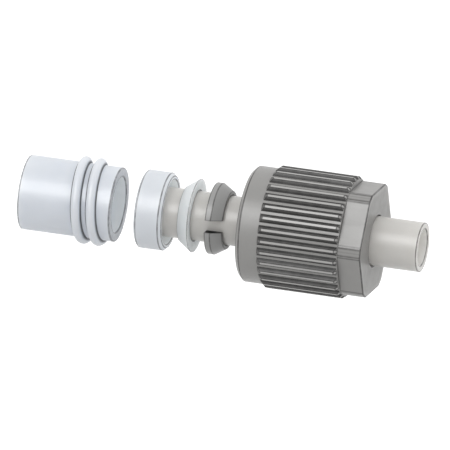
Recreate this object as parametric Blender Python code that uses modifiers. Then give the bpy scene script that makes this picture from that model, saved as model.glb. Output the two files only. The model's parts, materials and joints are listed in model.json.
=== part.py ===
# Laboratory screw joint for a round-threaded glass end and an 8 x 6 mm tube, laid out as an exploded row.
# Every piece lies on one axis, along +X, in the order in which the joint goes together.
# Metres, +Z up. The origin is on the axis, at the middle of the glass's cut end, where the joint is held.
# Angles round the axis are counted from -Y (0) over the top, +Z (90 degrees).

import math

import bmesh
import bpy
from mathutils import Matrix, Vector

MM = 0.001

# Clearances between pieces that fit over or into each other
TUBE_PLAY = 0.12 * MM
CAP_ON_TUBE = 0.15 * MM
CAP_ON_INSERT = 0.3 * MM
THREAD_BORE_PLAY = 0.25 * MM
THREAD_END_PLAY = 0.2 * MM

# Gaps that stay between seated pieces when the joint is closed
INSERT_SEAT_GAP = 0.1 * MM
CONE_SEAT_GAP = 0.27 * MM
RING_FACE_GAP = 0.1 * MM
CAP_SEAT_GAP = 0.3 * MM

# Gaps between the pieces of the exploded row
GLASS_TO_INSERT = 4.1 * MM
INSERT_TO_CONE = 2.25 * MM
CONE_TO_RING = 2.75 * MM
RING_TO_CAP = 3.33 * MM

# Tube that the joint holds: 8 mm outside, 6 mm inside
TUBE_R = 4.0 * MM
TUBE_WALL = 1.0 * MM
TUBE_IN_INSERT = 3.9 * MM
TUBE_PAST_CAP = 7.8 * MM

# Threaded glass end: a 12 mm tube with a round thread of 14 mm
GLASS_LENGTH = 15.3 * MM
GLASS_OUTER_R = 6.0 * MM
GLASS_WALL = 1.5 * MM
THREAD_HEIGHT = 1.0 * MM
THREAD_PITCH = 2.5 * MM
THREAD_RIDGE_R = 0.75 * MM
THREAD_TURNS = 2.0
THREAD_MIDDLE_TO_END = 4.345 * MM
THREAD_SINK = 0.7 * MM
FADE_TURNS = 0.12
FADED_SIZE = 0.45

# Sealing insert: a flat seat for the glass on the left, a conical seat for the cone on the right
INSERT_LENGTH = 4.5 * MM
INSERT_OVER_GLASS = 0.3 * MM
INSERT_LEFT_CHAMFER = 0.25 * MM
INSERT_RIGHT_CHAMFER = 0.5 * MM
INSERT_MOUTH_WALL = 1.0 * MM

# Sealing cone
CONE_LENGTH = 2.1 * MM
CONE_END_WALL = 0.38 * MM
CONE_OVER_MOUTH = 0.63 * MM
CONE_RIM = 0.08 * MM

# Split clamping ring
RING_LENGTH = 2.72 * MM
RING_BAND = 0.95 * MM
RING_UNDER_CONE = 0.15 * MM
RING_END_WALL = 0.56 * MM
RING_SLOT = 2.0 * MM

# Screw cap: collar, ribbed grip and hexagon, 17 mm across flats
CAP_COLLAR = 3.75 * MM
CAP_GRIP = 13.35 * MM
CAP_HEX = 3.85 * MM
CAP_WALL = 2.11 * MM
CAP_RIM_CHAMFER = 0.62 * MM
CAP_LEAD_IN = 0.4 * MM
CAP_SEAT_TO_GRIP_END = 0.4 * MM
RIB_COUNT = 32
RIB_HEIGHT = 0.54 * MM
RIB_TOP_WIDTH = 0.55 * MM
RIB_GAP_WIDTH = 0.62 * MM
RIB_FLOOR_STEP = 0.04 * MM
GRIP_END_STEP = 0.09 * MM
HEX_CORNER_RISE = 0.86 * MM
HEX_FILLET_R = 1.2 * MM
CAP_RIDGE_R = 0.5 * MM
CAP_RIDGE_HEIGHT = 0.75 * MM
CAP_RIDGE_START = 3.1 * MM
CAP_RIDGE_TURNS = 1.5
CAP_RIDGE_SINK = 0.65 * MM

# Facets round the axis
TURN_STEPS = 64
HELIX_STEPS = 40

# How far a cutter runs past the piece that it cuts
PAST = 1.0 * MM

# Radii that follow from the glass
GLASS_BORE_R = GLASS_OUTER_R - GLASS_WALL
THREAD_CREST_R = GLASS_OUTER_R + THREAD_HEIGHT
INSERT_R = GLASS_OUTER_R + INSERT_OVER_GLASS
INSERT_MOUTH_R = INSERT_R - INSERT_MOUTH_WALL
THREAD_BORE_R = THREAD_CREST_R + THREAD_BORE_PLAY
CAP_COLLAR_R = THREAD_BORE_R + CAP_WALL
CAP_GRIP_R = CAP_COLLAR_R + RIB_HEIGHT
HEX_FLAT_R = CAP_COLLAR_R - HEX_CORNER_RISE

# Radii that follow from the tube, and cones that bridge the two
TUBE_BORE_R = TUBE_R - TUBE_WALL
SLEEVE_BORE_R = TUBE_R + TUBE_PLAY
CONE_SMALL_R = SLEEVE_BORE_R + CONE_END_WALL
CONE_LARGE_R = INSERT_MOUTH_R + CONE_OVER_MOUTH
CONE_SLOPE = (CONE_LARGE_R - CONE_SMALL_R) / (CONE_LENGTH - CONE_RIM)
RING_R = CONE_LARGE_R - RING_UNDER_CONE
RING_END_R = SLEEVE_BORE_R + RING_END_WALL
RING_SLOPE = (RING_R - RING_END_R) / (RING_LENGTH - RING_BAND)

# Places along the row, from the free end of the glass
INSERT_START = GLASS_LENGTH + GLASS_TO_INSERT
CONE_START = INSERT_START + INSERT_LENGTH + INSERT_TO_CONE
RING_START = CONE_START + CONE_LENGTH + CONE_TO_RING
CAP_START = RING_START + RING_LENGTH + RING_TO_CAP
CAP_LENGTH = CAP_COLLAR + CAP_GRIP + CAP_HEX
TUBE_START = INSERT_START + INSERT_LENGTH - TUBE_IN_INSERT
TUBE_LENGTH = CAP_START + CAP_LENGTH + TUBE_PAST_CAP - TUBE_START
THREAD_MIDDLE = GLASS_LENGTH - THREAD_MIDDLE_TO_END

# Height in the cap at which its conical seat has the clamping ring's radius
CAP_SEAT = CAP_COLLAR + CAP_GRIP - CAP_SEAT_TO_GRIP_END

# How far each piece slides on the one before it, from this row to the closed joint
CONE_DEPTH = (INSERT_MOUTH_R - CONE_SMALL_R) / CONE_SLOPE - CONE_SEAT_GAP
INSERT_TRAVEL = GLASS_TO_INSERT - INSERT_SEAT_GAP
CONE_TRAVEL = INSERT_TO_CONE + CONE_DEPTH
RING_TRAVEL = CONE_TO_RING - RING_FACE_GAP
CAP_TRAVEL = CAP_START + CAP_SEAT - CAP_SEAT_GAP - RING_START - RING_BAND
ROW_TRAVEL = INSERT_TRAVEL + CONE_TRAVEL + RING_TRAVEL + CAP_TRAVEL


def clear_scene() -> None:
    for item in list(bpy.data.objects):
        bpy.data.objects.remove(item, do_unlink=True)


def new_collection(name: str) -> bpy.types.Collection:
    collection = bpy.data.collections.new(name)
    bpy.context.scene.collection.children.link(collection)
    return collection


def material(name: str, colour: tuple, roughness: float) -> bpy.types.Material:
    made = bpy.data.materials.new(name)
    made.use_nodes = True
    shader = made.node_tree.nodes["Principled BSDF"]
    shader.inputs["Base Color"].default_value = (*colour, 1.0)
    shader.inputs["Roughness"].default_value = roughness
    shader.inputs["Metallic"].default_value = 0.0
    made.diffuse_color = (*colour, 1.0)
    return made


def place(item: bpy.types.Object, start: float) -> None:
    """Lay an object that was drawn along its own +Z down along +X, its zero at `start` on the row."""
    item.rotation_euler = (0.0, math.pi / 2, 0.0)
    item.location = (start, 0.0, 0.0)


def finish_piece(item: bpy.types.Object, collection, start: float, look) -> bpy.types.Object:
    collection.objects.link(item)
    item.data.materials.append(look)
    place(item, start)
    return item


def mark_as_cutter(item: bpy.types.Object, collection, start: float) -> bpy.types.Object:
    collection.objects.link(item)
    place(item, start)
    item.hide_render = True
    item.display_type = "WIRE"
    return item


def turned(name: str, profile: list, closed: bool = True) -> bpy.types.Object:
    """Turn (radius, height) points round Z: down the outer side first, then back up the inner side."""
    points = [(radius, 0.0, height) for radius, height in profile]
    edges = [(i, i + 1) for i in range(len(points) - 1)]
    if closed:
        edges.append((len(points) - 1, 0))
    mesh = bpy.data.meshes.new(name)
    mesh.from_pydata(points, edges, [])
    item = bpy.data.objects.new(name, mesh)
    screw = item.modifiers.new("turn", "SCREW")
    screw.axis = "Z"
    screw.steps = TURN_STEPS
    screw.render_steps = TURN_STEPS
    screw.use_merge_vertices = True
    screw.merge_threshold = 0.01 * MM
    screw.use_smooth_shade = True
    return item


def boolean(item: bpy.types.Object, other: bpy.types.Object, operation: str) -> None:
    cut = item.modifiers.new(other.name, "BOOLEAN")
    cut.operation = operation
    cut.solver = "EXACT"
    cut.object = other


def direction(angle: float) -> Vector:
    """Unit vector at an angle round the axis, in the frame of a piece that is still drawn along its +Z."""
    return Vector((-math.sin(angle), -math.cos(angle), 0.0))


def weld(mesh: bpy.types.Mesh, lift: float = 0.0) -> None:
    """Close the loose caps of a mesh that was made from a curve, and raise it by `lift`."""
    shape = bmesh.new()
    shape.from_mesh(mesh)
    bmesh.ops.remove_doubles(shape, verts=shape.verts, dist=0.001 * MM)
    bmesh.ops.translate(shape, verts=shape.verts, vec=(0.0, 0.0, lift))
    bmesh.ops.recalc_face_normals(shape, faces=shape.faces)
    shape.to_mesh(mesh)
    shape.free()


def mesh_from_curve(curve: bpy.types.Curve) -> bpy.types.Mesh:
    drawn = bpy.data.objects.new(curve.name, curve)
    bpy.context.scene.collection.objects.link(drawn)
    mesh = bpy.data.meshes.new_from_object(drawn.evaluated_get(bpy.context.evaluated_depsgraph_get()))
    bpy.data.objects.remove(drawn, do_unlink=True)
    return mesh


def ridge(name: str, centre_r: float, ridge_r: float, sink: float, turns: float, middle: float,
          middle_angle: float) -> bpy.types.Object:
    """A right-hand round thread ridge whose ends fade out by sinking into the wall.

    Its centre line passes `middle_angle` at height `middle`, halfway along its turns.
    A positive `sink` fades inwards, a negative one outwards.
    """
    count = round(HELIX_STEPS * turns)
    curve = bpy.data.curves.new(name, "CURVE")
    curve.dimensions = "3D"
    curve.bevel_depth = ridge_r
    curve.bevel_resolution = 3
    curve.use_fill_caps = True
    spline = curve.splines.new("POLY")
    spline.points.add(count)
    for i, point in enumerate(spline.points):
        turn = turns * (i / count - 0.5)
        fade = min(1.0, (turns / 2 - abs(turn)) / FADE_TURNS)
        eased = math.sin(fade * math.pi / 2)
        around = direction(middle_angle - turn * math.tau) * (centre_r - sink * (1.0 - eased))
        point.co = (around.x, around.y, middle + turn * THREAD_PITCH, 1.0)
        point.radius = FADED_SIZE + (1.0 - FADED_SIZE) * eased
    mesh = mesh_from_curve(curve)
    weld(mesh)
    return bpy.data.objects.new(name, mesh)


def make_glass(parts, cutters) -> bpy.types.Object:
    """Glass tube end with a round thread of two turns that begins and fades out at the back."""
    body = turned("threaded_glass_end", [
        (GLASS_OUTER_R, GLASS_LENGTH),
        (GLASS_OUTER_R, 0.0),
        (GLASS_BORE_R, 0.0),
        (GLASS_BORE_R, GLASS_LENGTH),
    ])
    finish_piece(body, parts, 0.0, material("glass", (0.80, 0.83, 0.86), 0.15))
    centre_r = THREAD_CREST_R - THREAD_RIDGE_R
    thread = ridge("glass_thread", centre_r, THREAD_RIDGE_R, THREAD_SINK, THREAD_TURNS, THREAD_MIDDLE, math.pi)
    boolean(body, mark_as_cutter(thread, cutters, 0.0), "UNION")
    return body


def make_insert(parts) -> bpy.types.Object:
    """Ring with a flat seat for the glass end and a conical seat for the sealing cone."""
    seat_depth = (INSERT_MOUTH_R - SLEEVE_BORE_R) / CONE_SLOPE
    body = turned("sealing_insert", [
        (INSERT_R - INSERT_RIGHT_CHAMFER, INSERT_LENGTH),
        (INSERT_R, INSERT_LENGTH - INSERT_RIGHT_CHAMFER),
        (INSERT_R, INSERT_LEFT_CHAMFER),
        (INSERT_R - INSERT_LEFT_CHAMFER, 0.0),
        (SLEEVE_BORE_R, 0.0),
        (SLEEVE_BORE_R, INSERT_LENGTH - seat_depth),
        (INSERT_MOUTH_R, INSERT_LENGTH),
    ])
    return finish_piece(body, parts, INSERT_START, material("insert_ptfe", (0.86, 0.88, 0.90), 0.35))


def make_cone(parts) -> bpy.types.Object:
    """Sealing cone with a sharp wide rim and a flat right face."""
    body = turned("sealing_cone", [
        (CONE_LARGE_R, CONE_LENGTH),
        (CONE_LARGE_R, CONE_LENGTH - CONE_RIM),
        (CONE_SMALL_R, 0.0),
        (SLEEVE_BORE_R, 0.0),
        (SLEEVE_BORE_R, CONE_LENGTH),
    ])
    return finish_piece(body, parts, CONE_START, material("cone_ptfe", (0.70, 0.76, 0.76), 0.4))


def make_ring(parts, cutters) -> bpy.types.Object:
    """Clamping ring that closes on the tube: a band, a cone and one slot right through."""
    body = turned("clamping_ring", [
        (RING_END_R, RING_LENGTH),
        (RING_R, RING_BAND),
        (RING_R, 0.0),
        (SLEEVE_BORE_R, 0.0),
        (SLEEVE_BORE_R, RING_LENGTH),
    ])
    finish_piece(body, parts, RING_START, material("ring_grey", (0.26, 0.26, 0.26), 0.45))
    shape = bmesh.new()
    reach = 2 * RING_R
    size = Matrix.Diagonal((RING_SLOT, reach, 2 * RING_LENGTH, 1.0))
    bmesh.ops.create_cube(shape, size=1.0, matrix=Matrix.Translation((0, -reach / 2, RING_LENGTH / 2)) @ size)
    mesh = bpy.data.meshes.new("ring_slot")
    shape.to_mesh(mesh)
    shape.free()
    slot = mark_as_cutter(bpy.data.objects.new("ring_slot", mesh), cutters, RING_START)
    boolean(body, slot, "DIFFERENCE")
    return body


def rounded_hexagon() -> list:
    """Corners turned down to the collar's radius and blended into the flats by small fillets.

    A fillet of radius f touches the corner circle R from inside and the flat at distance d:
    its centre lies at R - f from the axis and at d - f along the flat's normal.
    """
    centre_r = CAP_COLLAR_R - HEX_FILLET_R
    off_normal = math.acos((HEX_FLAT_R - HEX_FILLET_R) / centre_r)
    centre = Vector((HEX_FLAT_R - HEX_FILLET_R, centre_r * math.sin(off_normal)))
    fillet = [off_normal * share for share in (0.0, 0.25, 0.5, 0.75, 1.0)]
    half = [centre + HEX_FILLET_R * Vector((math.cos(turn), math.sin(turn))) for turn in fillet]
    half.append(Vector((math.cos(math.pi / 6), math.sin(math.pi / 6))) * CAP_COLLAR_R)
    side = [Vector((p.x, -p.y)) for p in reversed(half[:-1])] + half
    outline = []
    for k in range(6):
        normal = math.radians(30 + 60 * k)
        turned_side = Matrix.Rotation(normal, 2)
        outline += [turned_side @ p for p in side]
    return outline


def make_hexagon() -> bpy.types.Object:
    """The hexagon as a prism that starts inside the grip and ends at the cap's right face."""
    outline = rounded_hexagon()
    start = CAP_COLLAR + CAP_GRIP / 2
    curve = bpy.data.curves.new("cap_hexagon", "CURVE")
    curve.dimensions = "2D"
    curve.fill_mode = "BOTH"
    curve.extrude = (CAP_LENGTH - start) / 2
    spline = curve.splines.new("POLY")
    spline.points.add(len(outline) - 1)
    for point, (along, across) in zip(spline.points, outline):
        front = direction(0.0) * along + direction(math.pi / 2) * across
        point.co = (front.x, front.y, 0.0, 1.0)
    spline.use_cyclic_u = True
    mesh = mesh_from_curve(curve)
    weld(mesh, lift=(start + CAP_LENGTH) / 2)
    return bpy.data.objects.new("cap_hexagon", mesh)


def make_rib_gaps() -> bpy.types.Object:
    """The gaps between the ribs: one prism for each, widening outwards, its floor just above the collar."""
    floor_r = CAP_COLLAR_R + RIB_FLOOR_STEP
    top_r = 2 * CAP_GRIP_R - floor_r
    grip_pitch = math.tau * CAP_GRIP_R / RIB_COUNT
    flank = (grip_pitch - RIB_TOP_WIDTH - RIB_GAP_WIDTH) / 2
    top_half = RIB_GAP_WIDTH / 2 + flank * (top_r - floor_r) / (CAP_GRIP_R - floor_r)
    low = CAP_COLLAR - RIB_HEIGHT
    high = CAP_COLLAR + CAP_GRIP + RIB_HEIGHT
    shape = bmesh.new()
    for k in range(RIB_COUNT):
        turn = math.tau * (k + 0.5) / RIB_COUNT
        box = bmesh.ops.create_cube(shape, size=2.0)["verts"]
        for vert in box:
            outer = vert.co.y < 0
            half = top_half if outer else RIB_GAP_WIDTH / 2
            radius = top_r if outer else floor_r
            vert.co = (vert.co.x * half, -radius, high if vert.co.z > 0 else low)
        bmesh.ops.rotate(shape, verts=box, cent=(0, 0, 0), matrix=Matrix.Rotation(turn, 3, "Z"))
    bmesh.ops.recalc_face_normals(shape, faces=shape.faces)
    mesh = bpy.data.meshes.new("rib_gaps")
    shape.to_mesh(mesh)
    shape.free()
    return bpy.data.objects.new("rib_gaps", mesh)


def make_cap_bore() -> bpy.types.Object:
    """The hollow of the cap: thread bore, insert bore, conical seat and the hole for the tube."""
    insert_bore_r = INSERT_R + CAP_ON_INSERT
    tube_hole_r = TUBE_R + CAP_ON_TUBE
    seat_start = CAP_SEAT - (insert_bore_r - RING_R) / RING_SLOPE
    seat_end = CAP_SEAT + (RING_R - tube_hole_r) / RING_SLOPE
    closed_start = CAP_START - ROW_TRAVEL
    thread_end = THREAD_MIDDLE + THREAD_TURNS / 2 * THREAD_PITCH + THREAD_RIDGE_R - closed_start
    bore_end = thread_end + THREAD_END_PLAY
    return turned("cap_bore", [
        (0.0, CAP_LENGTH + PAST),
        (tube_hole_r, CAP_LENGTH + PAST),
        (tube_hole_r, seat_end),
        (insert_bore_r, seat_start),
        (insert_bore_r, bore_end + THREAD_BORE_R - insert_bore_r),
        (THREAD_BORE_R, bore_end),
        (THREAD_BORE_R, CAP_LEAD_IN),
        (THREAD_BORE_R + CAP_LEAD_IN + PAST, -PAST),
        (0.0, -PAST),
    ], closed=False)


def make_cap_thread() -> bpy.types.Object:
    """The cap's inner ridge, placed so that it runs midway between the glass ridges in the closed joint.

    The glass thread passes the front half a pitch off its middle, so the gap there lies at the middle.
    Screwing the cap on by the insert's travel turns it without moving its thread through that gap.
    """
    centre_r = THREAD_BORE_R - CAP_RIDGE_HEIGHT + CAP_RIDGE_R
    gap_at_front = THREAD_MIDDLE + ROW_TRAVEL - INSERT_TRAVEL - CAP_START
    wanted = CAP_RIDGE_START + CAP_RIDGE_TURNS / 2 * THREAD_PITCH
    middle = gap_at_front + THREAD_PITCH * round((wanted - gap_at_front) / THREAD_PITCH)
    return ridge("cap_thread", centre_r, CAP_RIDGE_R, -CAP_RIDGE_SINK, CAP_RIDGE_TURNS, middle, 0.0)


def make_cap(parts, cutters) -> bpy.types.Object:
    """Screw cap: chamfered collar, ribbed grip with sloping ends, hexagon, threaded and stepped bore."""
    grip_end = CAP_COLLAR + CAP_GRIP
    body = turned("screw_cap", [
        (0.0, grip_end),
        (CAP_COLLAR_R + GRIP_END_STEP, grip_end),
        (CAP_GRIP_R, grip_end - RIB_HEIGHT + GRIP_END_STEP),
        (CAP_GRIP_R, CAP_COLLAR + RIB_HEIGHT),
        (CAP_COLLAR_R, CAP_COLLAR),
        (CAP_COLLAR_R, CAP_RIM_CHAMFER),
        (CAP_COLLAR_R - CAP_RIM_CHAMFER, 0.0),
        (0.0, 0.0),
    ], closed=False)
    finish_piece(body, parts, CAP_START, material("cap_grey", (0.27, 0.27, 0.27), 0.4))
    steps = [
        (make_hexagon(), "UNION"),
        (make_rib_gaps(), "DIFFERENCE"),
        (make_cap_bore(), "DIFFERENCE"),
        (make_cap_thread(), "UNION"),
    ]
    for shape, operation in steps:
        boolean(body, mark_as_cutter(shape, cutters, CAP_START), operation)
    return body


def make_tube(parts) -> bpy.types.Object:
    body = turned("tube", [
        (TUBE_R, TUBE_LENGTH),
        (TUBE_R, 0.0),
        (TUBE_BORE_R, 0.0),
        (TUBE_BORE_R, TUBE_LENGTH),
    ])
    return finish_piece(body, parts, TUBE_START, material("tube_white", (0.62, 0.61, 0.59), 0.35))


def main() -> None:
    clear_scene()
    parts = new_collection("laboratory_screw_joint")
    cutters = new_collection("cutters")
    make_glass(parts, cutters)
    make_insert(parts)
    make_cone(parts)
    make_ring(parts, cutters)
    make_cap(parts, cutters)
    make_tube(parts)


main()
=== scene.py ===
"""Looks of a laboratory screw joint, laid out as an exploded row on one axis.

The pieces are surfaces of revolution and their relatives. Each one is a closed skin round the axis: a profile of
(along, radius) points is carried round the axis, and radius and place may change with the angle, as on the threads,
the ribs and the hexagon. Sizes are millimetres and become metres when a mesh is made.
"""

import json
import logging
import math
from dataclasses import dataclass, field
from enum import Enum
from typing import Any, ClassVar

import bpy
import numpy as np
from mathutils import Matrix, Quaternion, Vector


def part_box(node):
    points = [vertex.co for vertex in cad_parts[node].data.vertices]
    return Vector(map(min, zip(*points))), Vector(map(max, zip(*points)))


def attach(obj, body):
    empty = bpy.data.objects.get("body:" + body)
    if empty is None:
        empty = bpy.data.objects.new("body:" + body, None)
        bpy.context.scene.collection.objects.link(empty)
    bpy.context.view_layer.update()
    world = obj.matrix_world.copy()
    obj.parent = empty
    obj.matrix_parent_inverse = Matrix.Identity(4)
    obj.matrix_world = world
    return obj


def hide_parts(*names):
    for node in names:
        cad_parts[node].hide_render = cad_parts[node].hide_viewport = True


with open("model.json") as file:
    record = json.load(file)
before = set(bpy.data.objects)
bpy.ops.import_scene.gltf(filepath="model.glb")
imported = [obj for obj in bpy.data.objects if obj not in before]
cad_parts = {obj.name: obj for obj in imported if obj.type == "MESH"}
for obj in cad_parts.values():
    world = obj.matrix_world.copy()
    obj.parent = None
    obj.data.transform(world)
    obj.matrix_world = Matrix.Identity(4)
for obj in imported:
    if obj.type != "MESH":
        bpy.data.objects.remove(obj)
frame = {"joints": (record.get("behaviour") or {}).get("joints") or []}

Array = np.ndarray
Colour = tuple[float, float, float, float]
MM = 0.001
TAU = math.tau
# Columns of a plain piece round the axis
ROUND_STEPS = 192
# Share of the guard strip beside a rounded edge over which the edge's tone stays full
FULL_TONE = 0.7
# A point this close to a face counts as on it, in millimetres
NEAR = 0.01
# The value grids of a patch
GRIDS = ("along", "radius", "angle", "edge", "corner")
LOG = logging.getLogger("screw_joint")


# Skins: closed surfaces round the axis

@dataclass
class Patch:
    """A grid of points round the axis: rows follow the profile, columns go round.

    Angles count from the side that faces -Y (0) over the top (a quarter turn). Rows run along the outer side towards
    +X, and back through the bore, so that the faces point outwards. edge and corner say from 0 to 1 how much a point
    lies on an outward edge and in an inward corner.
    """

    along: Array
    radius: Array
    angle: Array
    edge: Array
    corner: Array
    closed_round: bool = True

    def points(self) -> Array:
        """Places in millimetres: x is along; y and z are the radius turned by the angle."""
        return np.stack([self.along, -self.radius * np.cos(self.angle), self.radius * np.sin(self.angle)], axis=-1)

    def without_last_row(self) -> "Patch":
        """The patch without its last row, which repeats the first one where a profile ends at its start."""
        return Patch(*[getattr(self, name)[:-1] for name in GRIDS], self.closed_round)

    def with_rows(self, cut: int, new: "Patch") -> "Patch":
        """The patch with the rows of another one put in before its own row number cut."""
        return Patch(*[np.concatenate([getattr(self, name)[:cut], getattr(new, name), getattr(self, name)[cut:]])
                       for name in GRIDS])


def unit(vectors: Array) -> Array:
    """Vectors divided by their length; a zero vector stays zero."""
    length = np.linalg.norm(vectors, axis=-1, keepdims=True)
    return vectors / np.maximum(length, 1e-9)


def rounded(corners: Array, radii: Array, steps: int = 5, guard: float = 0.12) -> tuple[Array, Array, Array]:
    """Round the inner corners of open polylines with tangent arcs.

    An arc of radius f at a corner with half angle h starts and ends f / tan(h) from the corner, and its centre lies
    f / sin(h) from it on the bisector. Two more points on each side of an arc keep the shading of the flats flat and
    let the tone of the edge run a little way onto them.

    Args:
        corners: (..., k, 2) points; the first and last are end points.
        radii: (..., k - 2) arc radii of the inner corners.
        steps: points of each arc.
        guard: distance of the outer extra points from their arc, at most a quarter of the free flat.

    Returns:
        Points (..., n, 2), how much each lies on an outward edge, and how much in an inward corner, both 0 to 1.
    """
    here, before, after = corners[..., 1:-1, :], corners[..., :-2, :], corners[..., 2:, :]
    to_before, to_after = unit(before - here), unit(after - here)
    half = 0.5 * np.arccos(np.clip((to_before * to_after).sum(-1), -1.0, 1.0))
    reach = radii / np.tan(half)
    centre = here + unit(to_before + to_after) * (radii / np.sin(half))[..., None]
    start, end = here + to_before * reach[..., None], here + to_after * reach[..., None]
    first = np.arctan2(*np.moveaxis((start - centre)[..., ::-1], -1, 0))
    last = np.arctan2(*np.moveaxis((end - centre)[..., ::-1], -1, 0))
    sweep = (last - first + np.pi) % TAU - np.pi
    turn = first[..., None] + sweep[..., None] * np.linspace(0.0, 1.0, steps)
    arc = centre[..., None, :] + radii[..., None, None] * np.stack([np.cos(turn), np.sin(turn)], axis=-1)
    full = np.linalg.norm(np.diff(corners, axis=-2), axis=-1)
    no_reach = np.zeros(reach.shape[:-1] + (1,))
    reaches = np.concatenate([no_reach, reach, no_reach], axis=-1)
    free = np.maximum(full - reaches[..., :-1] - reaches[..., 1:], 0.0)
    step = np.minimum(guard, 0.25 * free)
    part = np.array([1.0, FULL_TONE])[:, None]
    low = start[..., None, :] + to_before[..., None, :] * step[..., :-1, None, None] * part
    high = end[..., None, :] + to_after[..., None, :] * step[..., 1:, None, None] * part[::-1]
    blocks = np.concatenate([low, arc, high], axis=-2)
    flat = blocks.reshape(*blocks.shape[:-3], -1, 2)
    points = np.concatenate([corners[..., :1, :], flat, corners[..., -1:, :]], axis=-2)
    outward = to_before[..., 0] * to_after[..., 1] - to_before[..., 1] * to_after[..., 0]
    bump = np.concatenate([[0.0, 1.0], np.ones(steps), [1.0, 0.0]])
    edge = np.where(outward > 1e-6, 1.0, 0.0)[..., None] * bump
    corner = np.where(outward < -1e-6, 1.0, 0.0)[..., None] * bump
    pad = [(0, 0)] * (edge.ndim - 2) + [(1, 1)]
    shape = edge.shape[:-2] + (-1,)
    return points, np.pad(edge.reshape(shape), pad), np.pad(corner.reshape(shape), pad)


def lathe(corners: list, radii: list, count: int = ROUND_STEPS, steps: int = 5, guard: float = 0.12) -> Patch:
    """Carry one rounded open profile of (along, radius) points round the axis.

    Args:
        corners: profile points; the first and last are its ends.
        radii: arc radii of the inner points.
        count: columns round the axis.
        steps: points of each arc.
        guard: see rounded().

    Returns:
        The patch.
    """
    points, edge, corner = rounded(np.array(corners, float), np.array(radii, float), steps, guard)
    around = np.broadcast_to(np.arange(count) * TAU / count, (len(points), count))
    along, radius, edge, corner = [np.broadcast_to(column[:, None], around.shape)
                                   for column in (points[:, 0], points[:, 1], edge, corner)]
    return Patch(along, radius, around, edge, corner)


def profiles(*points: tuple[Any, Any]) -> Array:
    """Set up one open profile for each column.

    Args:
        points: (along, radius) pairs, each value a number or one number for each column.

    Returns:
        (columns, points, 2) values.
    """
    values = np.broadcast_arrays(*[value for point in points for value in point])
    return np.stack(values, axis=-1).reshape(-1, len(points), 2)


def side_by_side(points: Array, angle: Array, edge: Array, corner: Array) -> Patch:
    """Make a patch of profiles that stand side by side round the axis.

    Args:
        points: (columns, rows, 2) places along the axis and radii.
        angle: angle of each column.
        edge: (columns, rows) shares of an outward edge.
        corner: (columns, rows) shares of an inward corner.

    Returns:
        The patch.
    """
    turned = np.broadcast_to(angle[:, None], edge.shape)
    return Patch(points[..., 0].T, points[..., 1].T, turned.T, edge.T, corner.T)


def grid_faces(ids: Array, closed_round: bool) -> Array:
    """Make the quads between neighbouring rows and columns.

    Args:
        ids: grid of vertex numbers.
        closed_round: whether the last column meets the first.

    Returns:
        (n, 4) vertex numbers.
    """
    if closed_round:
        ids = np.concatenate([ids, ids[:, :1]], axis=1)
    return np.stack([ids[:-1, :-1], ids[1:, :-1], ids[1:, 1:], ids[:-1, 1:]], axis=-1).reshape(-1, 4)


def zip_faces(a_ids: Array, a_angle: Array, b_ids: Array, b_angle: Array) -> Array:
    """Make the triangles between two closed rows whose columns stand at different angles.

    Both rows are walked round together. Each step to the next angle, on whichever row it lies, makes one triangle
    with the point that the other row has reached.

    Args:
        a_ids: vertex numbers of the first row.
        a_angle: their rising angles.
        b_ids: vertex numbers of the next row.
        b_angle: their rising angles.

    Returns:
        (n, 3) vertex numbers.
    """
    a_next, b_next = np.append(a_angle[1:], a_angle[0] + TAU), np.append(b_angle[1:], b_angle[0] + TAU)
    reached_b = np.searchsorted(b_next, a_next, side="left")
    reached_a = np.searchsorted(a_next, b_next, side="right")
    on_a = np.stack([a_ids, np.take(b_ids, reached_b, mode="wrap"), np.roll(a_ids, -1)], axis=-1)
    on_b = np.stack([np.take(a_ids, reached_a, mode="wrap"), b_ids, np.roll(b_ids, -1)], axis=-1)
    return np.concatenate([on_a, on_b])


def close_skin(name: str, patches: list[Patch], start: float) -> bpy.types.Object:
    """Join patches into one closed mesh: each patch's last row meets the next one's first row, round to the start.

    Args:
        name: the piece's name.
        patches: the patches, in the order of the profile.
        start: place of the profile's zero on the world's X, in millimetres.

    Returns:
        The object, at the origin, with the point attributes edge and corner.
    """
    ids, used = [], 0
    for patch in patches:
        count = patch.along.size
        ids.append(np.arange(used, used + count).reshape(patch.along.shape))
        used += count
    four, three, ends = [], [], []
    for patch, own in zip(patches, ids):
        four.append(grid_faces(own, patch.closed_round))
    for k, patch in enumerate(patches):
        other = (k + 1) % len(patches)
        a_row, b_row = ids[k][-1], ids[other][0]
        if patch.along.shape[1] == patches[other].along.shape[1]:
            four.append(grid_faces(np.stack([a_row, b_row]), patch.closed_round))
        else:
            three.append(zip_faces(a_row, patch.angle[-1], b_row, patches[other].angle[0]))
        if not patch.closed_round:
            ends += [ids[k][:, 0].tolist(), ids[k][::-1, -1].tolist()]
    points = np.concatenate([patch.points().reshape(-1, 3) for patch in patches])
    points = (points + np.array([start, 0.0, 0.0])) * MM
    faces = [face for block in four + three for face in block.tolist()] + ends
    mesh = bpy.data.meshes.new(name)
    mesh.from_pydata(points.tolist(), [], faces)
    for label in ("edge", "corner"):
        values = np.concatenate([getattr(patch, label).ravel() for patch in patches]).astype(np.float32)
        mesh.attributes.new(label, "FLOAT", "POINT").data.foreach_set("value", values)
    mesh.polygons.foreach_set("use_smooth", np.ones(len(mesh.polygons), bool))
    mesh.validate()
    mesh.update()
    piece = bpy.data.objects.new(name, mesh)
    bpy.context.scene.collection.objects.link(piece)
    return piece


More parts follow.
